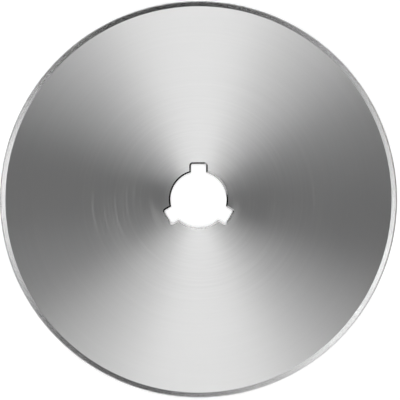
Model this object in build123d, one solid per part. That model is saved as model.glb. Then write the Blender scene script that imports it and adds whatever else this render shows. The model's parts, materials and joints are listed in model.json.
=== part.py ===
from build123d import *
import math
import os

# Rotary cutter blade: a thin steel disc, ground sharp all round its rim, with a hub
# opening that has three drive notches.
# The hub axis is Z, the lower face lies on Z = 0 and the first notch points along +Y.
# Lengths are in millimetres and angles in degrees.

# Disc
blade_diameter = 60.0
blade_thickness = 0.30

# Cutting edge, ground alike from both faces down to the middle of the thickness:
# a shallow bevel first, then a narrow and steeper honed band that ends in the edge itself
bevel_half_angle = 9.0
honed_half_angle = 17.0
honed_width = 0.15

# Hub opening, punched through the centre
hub_diameter = 8.5
notch_count = 3
first_notch_angle = 90.0
notch_width = 2.3
notch_depth = 1.13  # from the round wall to the flat end of a notch
notch_corner_radius = 0.25  # where a notch's sides meet its end

# Eased edge of the hub opening, the same on both faces
easing_width = 0.24  # across the face
easing_depth = 0.10  # down the wall

# Worked out from the sizes above
edge_radius = blade_diameter / 2
hub_radius = hub_diameter / 2
notch_reach = hub_radius + notch_depth
half_thickness = blade_thickness / 2
shoulder_radius = edge_radius - honed_width
shoulder_height = honed_width * math.tan(math.radians(honed_half_angle))
bevel_width = (half_thickness - shoulder_height) / math.tan(math.radians(bevel_half_angle))
face_radius = shoulder_radius - bevel_width


def disc_section():
    # Half of the disc's cross-section, from the hub axis out to the cutting edge.
    outline = Polyline(
        (0, 0),
        (face_radius, 0),
        (shoulder_radius, half_thickness - shoulder_height),
        (edge_radius, half_thickness),
        (shoulder_radius, half_thickness + shoulder_height),
        (face_radius, blade_thickness),
        (0, blade_thickness),
        close=True,
    )
    return Plane.XZ * make_face(outline)


def ground_disc():
    # The whole disc with its cutting edge, before the hub opening is punched.
    return revolve(disc_section(), axis=Axis.Z, revolution_arc=360)


def notch_outline():
    # One notch, running out along +X from the hub axis, with rounded outer corners.
    strip = Pos(notch_reach / 2, 0) * Rectangle(notch_reach, notch_width)
    outer_corners = strip.vertices().group_by(Axis.X)[-1]
    return fillet(outer_corners, notch_corner_radius)


def hub_outline():
    # The round hole with its notches spread evenly round it.
    outline = Circle(hub_radius)
    for place in PolarLocations(0, notch_count, first_notch_angle):
        outline += place * notch_outline()
    return outline


def punch_hub(disc):
    # The opening goes straight through both faces.
    punch = extrude(hub_outline(), amount=2 * blade_thickness, both=True)
    return disc - punch


def ease_hub_edges(blade):
    # A narrow sloping band round the opening on the lower face, then on the upper one.
    for face_index in (0, -1):
        face = blade.faces().filter_by(Axis.Z).sort_by(Axis.Z)[face_index]
        rim = face.inner_wires()[0].edges()
        blade = blade.chamfer(easing_width, easing_depth, rim, face)
    return blade


def rotary_blade():
    blade = punch_hub(ground_disc())
    return ease_hub_edges(blade)


os.makedirs("parts", exist_ok=True)
export_step(rotary_blade(), "parts/blade.step")
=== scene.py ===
import json
import math

import bmesh
import bpy
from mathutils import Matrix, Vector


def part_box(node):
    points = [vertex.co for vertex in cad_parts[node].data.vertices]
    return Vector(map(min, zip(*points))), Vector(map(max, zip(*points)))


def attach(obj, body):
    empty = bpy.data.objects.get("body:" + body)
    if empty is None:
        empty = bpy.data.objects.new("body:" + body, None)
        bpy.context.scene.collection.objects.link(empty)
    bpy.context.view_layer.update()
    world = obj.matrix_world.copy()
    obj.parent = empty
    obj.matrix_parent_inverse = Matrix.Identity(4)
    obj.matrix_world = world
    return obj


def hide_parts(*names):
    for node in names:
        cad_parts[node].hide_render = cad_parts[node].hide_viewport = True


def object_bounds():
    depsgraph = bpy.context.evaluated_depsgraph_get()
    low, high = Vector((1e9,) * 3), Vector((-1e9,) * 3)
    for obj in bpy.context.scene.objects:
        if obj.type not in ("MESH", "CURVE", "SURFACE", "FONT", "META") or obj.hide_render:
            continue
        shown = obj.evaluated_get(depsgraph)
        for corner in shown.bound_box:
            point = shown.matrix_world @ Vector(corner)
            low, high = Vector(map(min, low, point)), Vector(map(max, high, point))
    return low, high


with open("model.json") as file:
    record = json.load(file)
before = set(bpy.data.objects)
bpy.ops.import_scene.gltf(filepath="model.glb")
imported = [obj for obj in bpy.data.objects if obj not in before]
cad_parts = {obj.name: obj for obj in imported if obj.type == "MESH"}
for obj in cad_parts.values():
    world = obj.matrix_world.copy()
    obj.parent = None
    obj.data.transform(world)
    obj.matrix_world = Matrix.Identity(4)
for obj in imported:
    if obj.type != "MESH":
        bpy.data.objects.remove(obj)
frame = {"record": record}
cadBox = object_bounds()
mm = 0.001


def hexToLinear(code):
    # the standard sRGB curve, undone
    channels = [int(code[i:i + 2], 16) / 255 for i in (1, 3, 5)]
    linear = [c / 12.92 if c <= 0.04045 else ((c + 0.055) / 1.055) ** 2.4 for c in channels]
    return (*linear, 1.0)


def addNode(tree, kind, settings, inputs):
    # settings go on the node itself, an input is a plain value or another node's output
    node = tree.nodes.new(kind)
    for name, value in settings.items():
        setattr(node, name, value)
    for socket, value in inputs.items():
        if isinstance(value, bpy.types.NodeSocket):
            tree.links.new(value, node.inputs[socket])
        else:
            node.inputs[socket].default_value = value
    return node


# Camera: straight above the blade, framed as in the photograph
cameraSetup = {
    "lens": 300.0,  # mm, long enough that the rim is seen as squarely as the hub
    "sensor": 36.0,  # mm
    "framePixels": 400,
    "discPixels": 397.0,  # the blade's diameter in the frame
    "discCentre": (198.5, 199.45),  # pixels from the frame's left and top edges
}


def makeCamera(low, high):
    setup = cameraSetup
    pixel = (high.x - low.x) / setup["discPixels"]
    frameWidth = pixel * setup["framePixels"]
    half = setup["framePixels"] / 2
    data = bpy.data.cameras.new("overheadCamera")
    data.lens = setup["lens"]
    data.sensor_width = setup["sensor"]
    camera = bpy.data.objects.new("overheadCamera", data)
    bpy.context.scene.collection.objects.link(camera)
    camera.location = (
        (half - setup["discCentre"][0]) * pixel,
        (setup["discCentre"][1] - half) * pixel,
        high.z + frameWidth * setup["lens"] / setup["sensor"],
    )
    bpy.context.scene.camera = camera


makeCamera(*cadBox)
print("camera placed")


# The blade's mesh, finer than the frame's: same faces, same sizes
bladeShape = {
    "arcStep": 1.2,  # degrees between points on the round parts
    "cornerSteps": 6,  # points round a notch corner
    "endSteps": 8,  # points across a notch end
    "sideSteps": 3,  # points along a notch side
    "faceRings": 6,  # bands of the flat face outside the inner ring
    "sharpAngle": 5.0,  # degrees, edges that turn by more than this stay crisp
    "notchCount": 3,
    "firstNotch": 90.0,  # degrees
    "notchWidth": 2.3,  # mm, as are the other widths, depths and radii
    "notchDepth": 1.13,
    "notchCorner": 0.25,
    "easingWidth": 0.24,
    "easingDepth": 0.10,
    "honedWidth": 0.15,
    "honedAngle": 17.0,  # degrees
    "bevelAngle": 9.0,
    "innerRing": 7.5,  # the first full circle outside the notches
}


def hubRadius():
    bore = next(m for m in frame["record"]["mounts"] if m["name"] == "hub_bore")
    return bore["dims"]["r_mm"]


def notchedThird(grow):
    # points of one notch along +X and the round wall after it, opening grown by that many mm
    s = bladeShape
    radius = hubRadius() + grow
    half = s["notchWidth"] / 2 + grow
    reach = hubRadius() + s["notchDepth"] + grow
    corner = s["notchCorner"] + grow
    cornerX = reach - corner
    cornerY = half - corner
    mouth = math.asin(half / radius)
    start = radius * math.cos(mouth)
    points = []
    for i in range(s["sideSteps"]):
        points.append((start + (cornerX - start) * i / s["sideSteps"], -half))
    for i in range(s["cornerSteps"]):
        turn = math.pi / 2 * (i / s["cornerSteps"] - 1)
        points.append((cornerX + corner * math.cos(turn), -cornerY + corner * math.sin(turn)))
    for i in range(s["endSteps"]):
        points.append((reach, cornerY * (2 * i / s["endSteps"] - 1)))
    for i in range(s["cornerSteps"]):
        turn = math.pi / 2 * i / s["cornerSteps"]
        points.append((cornerX + corner * math.cos(turn), cornerY + corner * math.sin(turn)))
    for i in range(s["sideSteps"]):
        points.append((cornerX - (cornerX - start) * i / s["sideSteps"], half))
    sweep = 2 * math.pi / s["notchCount"] - 2 * mouth
    steps = round(360 / s["notchCount"] / s["arcStep"])  # the same on each loop, so that they pair up
    for i in range(steps):
        turn = mouth + sweep * i / steps
        points.append((radius * math.cos(turn), radius * math.sin(turn)))
    return points


def hubLoop(grow):
    s = bladeShape
    points = []
    for k in range(s["notchCount"]):
        turn = math.radians(s["firstNotch"] + 360 / s["notchCount"] * k)
        for x, y in notchedThird(grow):
            points.append((
                x * math.cos(turn) - y * math.sin(turn),
                x * math.sin(turn) + y * math.cos(turn),
            ))
    return points


slotOrder = ["ground", "bevel", "honed", "punched"]


def buildBlade():
    s = bladeShape
    low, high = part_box("blade")
    thickness = (high.z - low.z) / mm
    rim = (high.x - low.x) / 2 / mm
    middle = thickness / 2
    shoulder = rim - s["honedWidth"]
    rise = s["honedWidth"] * math.tan(math.radians(s["honedAngle"]))
    faceEdge = shoulder - (middle - rise) / math.tan(math.radians(s["bevelAngle"]))
    eased = hubLoop(s["easingWidth"])
    wall = hubLoop(0)
    angles = [math.atan2(y, x) for x, y in eased]

    def circle(radius):
        return [(radius * math.cos(a), radius * math.sin(a)) for a in angles]

    ringGap = (faceEdge - s["innerRing"]) / s["faceRings"]
    face = [circle(s["innerRing"] + ringGap * i) for i in range(s["faceRings"] + 1)]
    # loops from the middle of the hub wall up, out over the top face, round the rim and back below
    upper = [(wall, middle), (wall, thickness - s["easingDepth"]), (eased, thickness)]
    upper += [(ring, thickness) for ring in face]
    upper += [(circle(shoulder), middle + rise)]
    loops = upper + [(circle(rim), middle)]
    loops += [(points, thickness - z) for points, z in reversed(upper[1:])]
    finishes = ["punched", "punched"] + ["ground"] * len(face) + ["bevel", "honed"]
    finishes += list(reversed(finishes))

    mesh = bpy.data.meshes.new("blade_steel")
    work = bmesh.new()
    rows = []
    for points, z in loops:
        rows.append([work.verts.new((x * mm, y * mm, z * mm)) for x, y in points])
    count = len(angles)
    for i, finish in enumerate(finishes):
        inner, outer = rows[i], rows[(i + 1) % len(rows)]
        for k in range(count):
            after = (k + 1) % count
            quad = work.faces.new((inner[k], outer[k], outer[after], inner[after]))
            quad.smooth = True
            quad.material_index = slotOrder.index(finish)
    bmesh.ops.recalc_face_normals(work, faces=work.faces)
    sharpAngle = math.radians(s["sharpAngle"])
    for edge in work.edges:
        edge.smooth = edge.calc_face_angle(0) < sharpAngle
    work.to_mesh(mesh)
    work.free()
    blade = bpy.data.objects.new("blade_steel", mesh)
    bpy.context.scene.collection.objects.link(blade)
    return blade


blade = buildBlade()
print("blade mesh built,", len(blade.data.polygons), "faces")


# Materials. The grain is drawn on circles round the hub, and its sizes are real ones in
# millimetres: "along" is the length of a mark on the circle with the look's "radius", and
# "outward" is its width across the circles.

# Hardened tool steel, ground on a turning table: concentric lines that fan the light out
# into a bright wedge above and below the hub and leave the two sides grey
groundSteel = {
    "dark": "#C9C9C9",
    "light": "#CDCDCD",
    "roughness": 0.42,
    "roughnessSpread": 0.02,
    "anisotropy": 1.0,
    "turn": 0.25,  # the highlight runs out along the radius, across the lines
    "radius": 30.0,
    "fine": {"along": 27.3, "outward": 0.345, "detail": 4.0},  # ten times too coarse, so that it shows
    "broad": {"along": 43.0, "outward": 2.2, "detail": 2.0},  # wider rings where the wheel dwelt
    "broadShare": 0.25,
    "grooveDepth": 0.0012,  # mm
    # the rings lose strength between these two radii in mm and keep this share of it beyond
    "faint": {"from": 13.0, "to": 20.0, "share": 0.4},
    "scatter": 0.3,  # share of light that the few deepest lines scatter, seen in the grey sides
}

# The same steel, ground across the edge: short lines that point at the hub, so that
# the band lights up where the face is dark
bevelSteel = {
    "dark": "#CACACA",
    "light": "#CDCDCD",
    "roughness": 0.24,
    "roughnessSpread": 0.02,
    "anisotropy": 1.0,
    "turn": 0.0,  # the highlight runs along the rim, here too across the lines
    "radius": 30.0,
    "fine": {"along": 0.3, "outward": 1.7, "detail": 2.0},  # three times too coarse, so that it shows
    "broad": {"along": 5.0, "outward": 1.7, "detail": 2.0},
    "broadShare": 0.4,
    "grooveDepth": 0.0006,
}

# The same steel, honed on a finer stone: a thin line along the edge, more even than the bevel
honedSteel = {
    "dark": "#CACACA",
    "light": "#CCCCCC",
    "roughness": 0.24,
    "roughnessSpread": 0.02,
    "anisotropy": 1.0,
    "turn": 0.0,
    "radius": 30.0,
    "fine": {"along": 0.14, "outward": 1.0, "detail": 1.0},
    "broad": {"along": 3.3, "outward": 1.0, "detail": 1.0},
    "broadShare": 0.5,
    "grooveDepth": 0.0002,
}

# The same steel, punched and then tumbled, without grain lines: a darker line round the opening, partly
# the duller sheared edge and partly painted shade where the hole's wall is in shade
punchedSteelWithPaintedShade = {
    "dark": "#646464",
    "light": "#6A6A6A",
    "roughness": 0.15,
    "roughnessSpread": 0.03,
    "anisotropy": 0.0,
    "turn": 0.0,
    "radius": 4.25,
    "fine": {"along": 0.11, "outward": 0.11, "detail": 3.0},
    "broad": {"along": 0.53, "outward": 0.67, "detail": 2.0},
    "broadShare": 0.5,
    "grooveDepth": 0.0005,
}

# Levels of the noise, which keeps close to its middle
grainLevel = {
    "middle": 0.5,
    "dark": 0.38,  # fully dark from here down
    "light": 0.62,  # fully light from here up
    "deepest": 0.66,  # scatter starts at the middle and is full here
}


def grainNoise(tree, outwards, radius, look, size):
    grain = look[size]
    along = addNode(tree, "ShaderNodeVectorMath", {"operation": "SCALE"}, {
        "Vector": outwards,
        "Scale": look["radius"] / grain["along"],
    })
    across = addNode(tree, "ShaderNodeMath", {"operation": "DIVIDE"}, {0: radius, 1: grain["outward"]})
    lift = addNode(tree, "ShaderNodeCombineXYZ", {}, {"Z": across.outputs["Value"]})
    place = addNode(tree, "ShaderNodeVectorMath", {"operation": "ADD"}, {
        0: along.outputs["Vector"],
        1: lift.outputs["Vector"],
    })
    noise = addNode(tree, "ShaderNodeTexNoise", {}, {
        "Vector": place.outputs["Vector"],
        "Scale": 1.0,
        "Detail": grain["detail"],
    })
    return noise.outputs["Fac"]


def steelMaterial(name, look):
    level = grainLevel
    material = bpy.data.materials.new(name)
    material.use_nodes = True
    tree = material.node_tree
    tree.nodes.clear()
    place = addNode(tree, "ShaderNodeTexCoord", {}, {})
    flat = addNode(tree, "ShaderNodeVectorMath", {"operation": "MULTIPLY"}, {
        0: place.outputs["Object"],
        1: (1 / mm, 1 / mm, 0.0),
    })
    flat = flat.outputs["Vector"]
    outwards = addNode(tree, "ShaderNodeVectorMath", {"operation": "NORMALIZE"}, {0: flat})
    radius = addNode(tree, "ShaderNodeVectorMath", {"operation": "LENGTH"}, {0: flat})
    outwards, radius = outwards.outputs["Vector"], radius.outputs["Value"]
    fine = grainNoise(tree, outwards, radius, look, "fine")
    broad = grainNoise(tree, outwards, radius, look, "broad")
    grain = addNode(tree, "ShaderNodeMix", {}, {"Factor": look["broadShare"], "A": fine, "B": broad})
    if "faint" in look:
        contrast = addNode(tree, "ShaderNodeMapRange", {}, {
            "Value": radius,
            "From Min": look["faint"]["from"],
            "From Max": look["faint"]["to"],
            "To Min": 1.0,
            "To Max": look["faint"]["share"],
        })
        grain = addNode(tree, "ShaderNodeMix", {}, {
            "Factor": contrast.outputs["Result"],
            "A": level["middle"],
            "B": grain.outputs["Result"],
        })
    grain = grain.outputs["Result"]
    lines = addNode(tree, "ShaderNodeMapRange", {}, {
        "Value": grain,
        "From Min": level["dark"],
        "From Max": level["light"],
    })
    lines = lines.outputs["Result"]
    colour = addNode(tree, "ShaderNodeMix", {"data_type": "RGBA"}, {
        "Factor": lines,
        "A": hexToLinear(look["dark"]),
        "B": hexToLinear(look["light"]),
    })
    finish = addNode(tree, "ShaderNodeMapRange", {}, {
        "Value": lines,
        "To Min": look["roughness"] - look["roughnessSpread"],
        "To Max": look["roughness"] + look["roughnessSpread"],
    })
    metallic = 1.0
    if "scatter" in look:
        deepLines = addNode(tree, "ShaderNodeMapRange", {"interpolation_type": "SMOOTHSTEP"}, {
            "Value": grain,
            "From Min": level["middle"],
            "From Max": level["deepest"],
            "To Min": 1.0,
            "To Max": 1.0 - look["scatter"],
        })
        metallic = deepLines.outputs["Result"]
    grooves = addNode(tree, "ShaderNodeBump", {}, {
        "Height": fine,
        "Distance": look["grooveDepth"] * mm,
    })
    around = addNode(tree, "ShaderNodeTangent", {"direction_type": "RADIAL", "axis": "Z"}, {})
    shader = addNode(tree, "ShaderNodeBsdfPrincipled", {}, {
        "Base Color": colour.outputs["Result"],
        "Metallic": metallic,
        "Roughness": finish.outputs["Result"],
        "Normal": grooves.outputs["Normal"],
        "Anisotropic": look["anisotropy"],
        "Anisotropic Rotation": look["turn"],
        "Tangent": around.outputs["Tangent"],
    })
    addNode(tree, "ShaderNodeOutputMaterial", {}, {"Surface": shader.outputs["BSDF"]})
    return material


# in the order of the blade's slots
for name, look in (
    ("concentricGroundSteel", groundSteel),
    ("crossGroundBevelSteel", bevelSteel),
    ("honedEdgeSteel", honedSteel),
    # the hub edge's dark colour is partly painted shade round the opening
    ("tumbledPunchedSteelAndPaintedShade", punchedSteelWithPaintedShade),
):
    blade.data.materials.append(steelMaterial(name, look))
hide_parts("blade")
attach(blade, "root")
print("steel finishes assigned")


# Studio light. A softbox has its azimuth and elevations in degrees and its strength in units of
# plain white. It is full out to "core" degrees from its azimuth and gone by "edge".
softboxes = {
    # behind the blade, past the picture's top edge, for the upper fan
    "backPanel": {"azimuth": 90, "core": 0, "edge": 80, "low": 41, "high": 46, "strength": 9.5},
    "backLow": {"azimuth": 95, "core": 10, "edge": 30, "low": 0, "high": 37, "strength": 1.8},
    "backStrip": {"azimuth": 100, "core": 0, "edge": 35, "low": 57, "high": 59, "strength": 7.5},
    "backOverhead": {"azimuth": 90, "core": 20, "edge": 35, "low": 74, "high": 84, "strength": 10.0},
    # in front of it, for the lower fan
    "frontLow": {"azimuth": 270, "core": 30, "edge": 60, "low": 0, "high": 38, "strength": 1.7},
    "frontStrip": {"azimuth": 275, "core": 50, "edge": 70, "low": 53, "high": 58, "strength": 4.5},
    "frontLeftStrip": {"azimuth": 225, "core": 25, "edge": 40, "low": 43, "high": 47, "strength": 6.0},
    # narrow and high up, mostly for the bevel
    "rightStrip": {"azimuth": 0, "core": 30, "edge": 50, "low": 67, "high": 69, "strength": 3.5},
    "leftStrip": {"azimuth": 180, "core": 0, "edge": 20, "low": 67, "high": 70, "strength": 6.5},
    "frontRight": {"azimuth": 320, "core": 15, "edge": 25, "low": 67, "high": 69, "strength": 5.5},
}
studioAir = {
    "boxFade": 3.0,  # degrees of elevation over which a softbox starts or ends, each way
    "horizonTop": 14,  # degrees, the top of a pale band all round
    "horizonStrength": 0.5,
}


def studioWorld():
    world = bpy.data.worlds.new("studioLight")
    bpy.context.scene.world = world
    world.use_nodes = True
    tree = world.node_tree
    tree.nodes.clear()
    coordinate = addNode(tree, "ShaderNodeTexCoord", {}, {})
    parts = addNode(tree, "ShaderNodeSeparateXYZ", {}, {"Vector": coordinate.outputs["Generated"]})
    flat = addNode(tree, "ShaderNodeCombineXYZ", {}, {"X": parts.outputs["X"], "Y": parts.outputs["Y"]})
    compass = addNode(tree, "ShaderNodeVectorMath", {"operation": "NORMALIZE"}, {
        0: flat.outputs["Vector"],
    })
    height = parts.outputs["Z"]
    fade = studioAir["boxFade"]
    total = None
    for box in softboxes.values():
        aim = math.radians(box["azimuth"])
        facing = addNode(tree, "ShaderNodeVectorMath", {"operation": "DOT_PRODUCT"}, {
            0: compass.outputs["Vector"],
            1: (math.cos(aim), math.sin(aim), 0.0),
        })
        across = addNode(tree, "ShaderNodeMapRange", {"interpolation_type": "SMOOTHSTEP"}, {
            "Value": facing.outputs["Value"],
            "From Min": math.cos(math.radians(box["edge"])),
            "From Max": math.cos(math.radians(box["core"])),
        })
        rising = addNode(tree, "ShaderNodeMapRange", {"interpolation_type": "SMOOTHSTEP"}, {
            "Value": height,
            "From Min": math.sin(math.radians(box["low"] - fade)),
            "From Max": math.sin(math.radians(box["low"] + fade)),
        })
        falling = addNode(tree, "ShaderNodeMapRange", {"interpolation_type": "SMOOTHSTEP"}, {
            "Value": height,
            "From Min": math.sin(math.radians(box["high"] + fade)),
            "From Max": math.sin(math.radians(box["high"] - fade)),
        })
        window = addNode(tree, "ShaderNodeMath", {"operation": "MULTIPLY"}, {
            0: rising.outputs["Result"],
            1: falling.outputs["Result"],
        })
        glow = addNode(tree, "ShaderNodeMath", {"operation": "MULTIPLY"}, {
            0: window.outputs["Value"],
            1: across.outputs["Result"],
        })
        total = addNode(tree, "ShaderNodeMath", {"operation": "MULTIPLY_ADD"}, {
            0: glow.outputs["Value"],
            1: box["strength"],
            2: total.outputs["Value"] if total else 0.0,
        })
    band = addNode(tree, "ShaderNodeMapRange", {"interpolation_type": "SMOOTHSTEP"}, {
        "Value": height,
        "From Min": math.sin(math.radians(studioAir["horizonTop"])),
        "From Max": 0.0,
        "To Max": studioAir["horizonStrength"],
    })
    total = addNode(tree, "ShaderNodeMath", {"operation": "ADD"}, {
        0: total.outputs["Value"],
        1: band.outputs["Result"],
    })
    background = addNode(tree, "ShaderNodeBackground", {}, {
        "Color": total.outputs["Value"],
        "Strength": 1.0,
    })
    addNode(tree, "ShaderNodeOutputWorld", {}, {"Surface": background.outputs["Background"]})


studioWorld()
print("softboxes hung")


# Floor: a pale sweep that the blade lies on
floorSetup = {
    "size": 6.0,  # m
    "drop": 0.01,  # mm below the blade, so that the two surfaces never share a plane
    "colour": "#F2F2F2",
    "lift": 0.3,  # glow that keeps it plain white in the picture and in the steel's reflections
}


def makeFloor():
    setup = floorSetup
    half = setup["size"] / 2
    level = -setup["drop"] * mm
    mesh = bpy.data.meshes.new("studioFloor")
    corners = [(-half, -half, level), (half, -half, level), (half, half, level), (-half, half, level)]
    mesh.from_pydata(corners, [], [(0, 1, 2, 3)])
    floor = bpy.data.objects.new("studioFloor", mesh)
    bpy.context.scene.collection.objects.link(floor)
    material = bpy.data.materials.new("matteWhiteSweep")
    material.use_nodes = True
    tree = material.node_tree
    tree.nodes.clear()
    paint = addNode(tree, "ShaderNodeBsdfDiffuse", {}, {"Color": hexToLinear(setup["colour"])})
    path = addNode(tree, "ShaderNodeLightPath", {}, {})
    seen = addNode(tree, "ShaderNodeMath", {"operation": "MAXIMUM"}, {
        0: path.outputs["Is Camera Ray"],
        1: path.outputs["Is Glossy Ray"],
    })
    seen = addNode(tree, "ShaderNodeMath", {"operation": "MAXIMUM"}, {
        0: seen.outputs["Value"],
        1: path.outputs["Is Transmission Ray"],
    })
    lift = addNode(tree, "ShaderNodeMath", {"operation": "MULTIPLY"}, {
        0: seen.outputs["Value"],
        1: setup["lift"],
    })
    glow = addNode(tree, "ShaderNodeEmission", {}, {"Strength": lift.outputs["Value"]})
    both = addNode(tree, "ShaderNodeAddShader", {}, {
        0: paint.outputs["BSDF"],
        1: glow.outputs["Emission"],
    })
    addNode(tree, "ShaderNodeOutputMaterial", {}, {"Surface": both.outputs["Shader"]})
    mesh.materials.append(material)


makeFloor()
bpy.context.scene.view_settings.view_transform = "Standard"
print("studio ready")
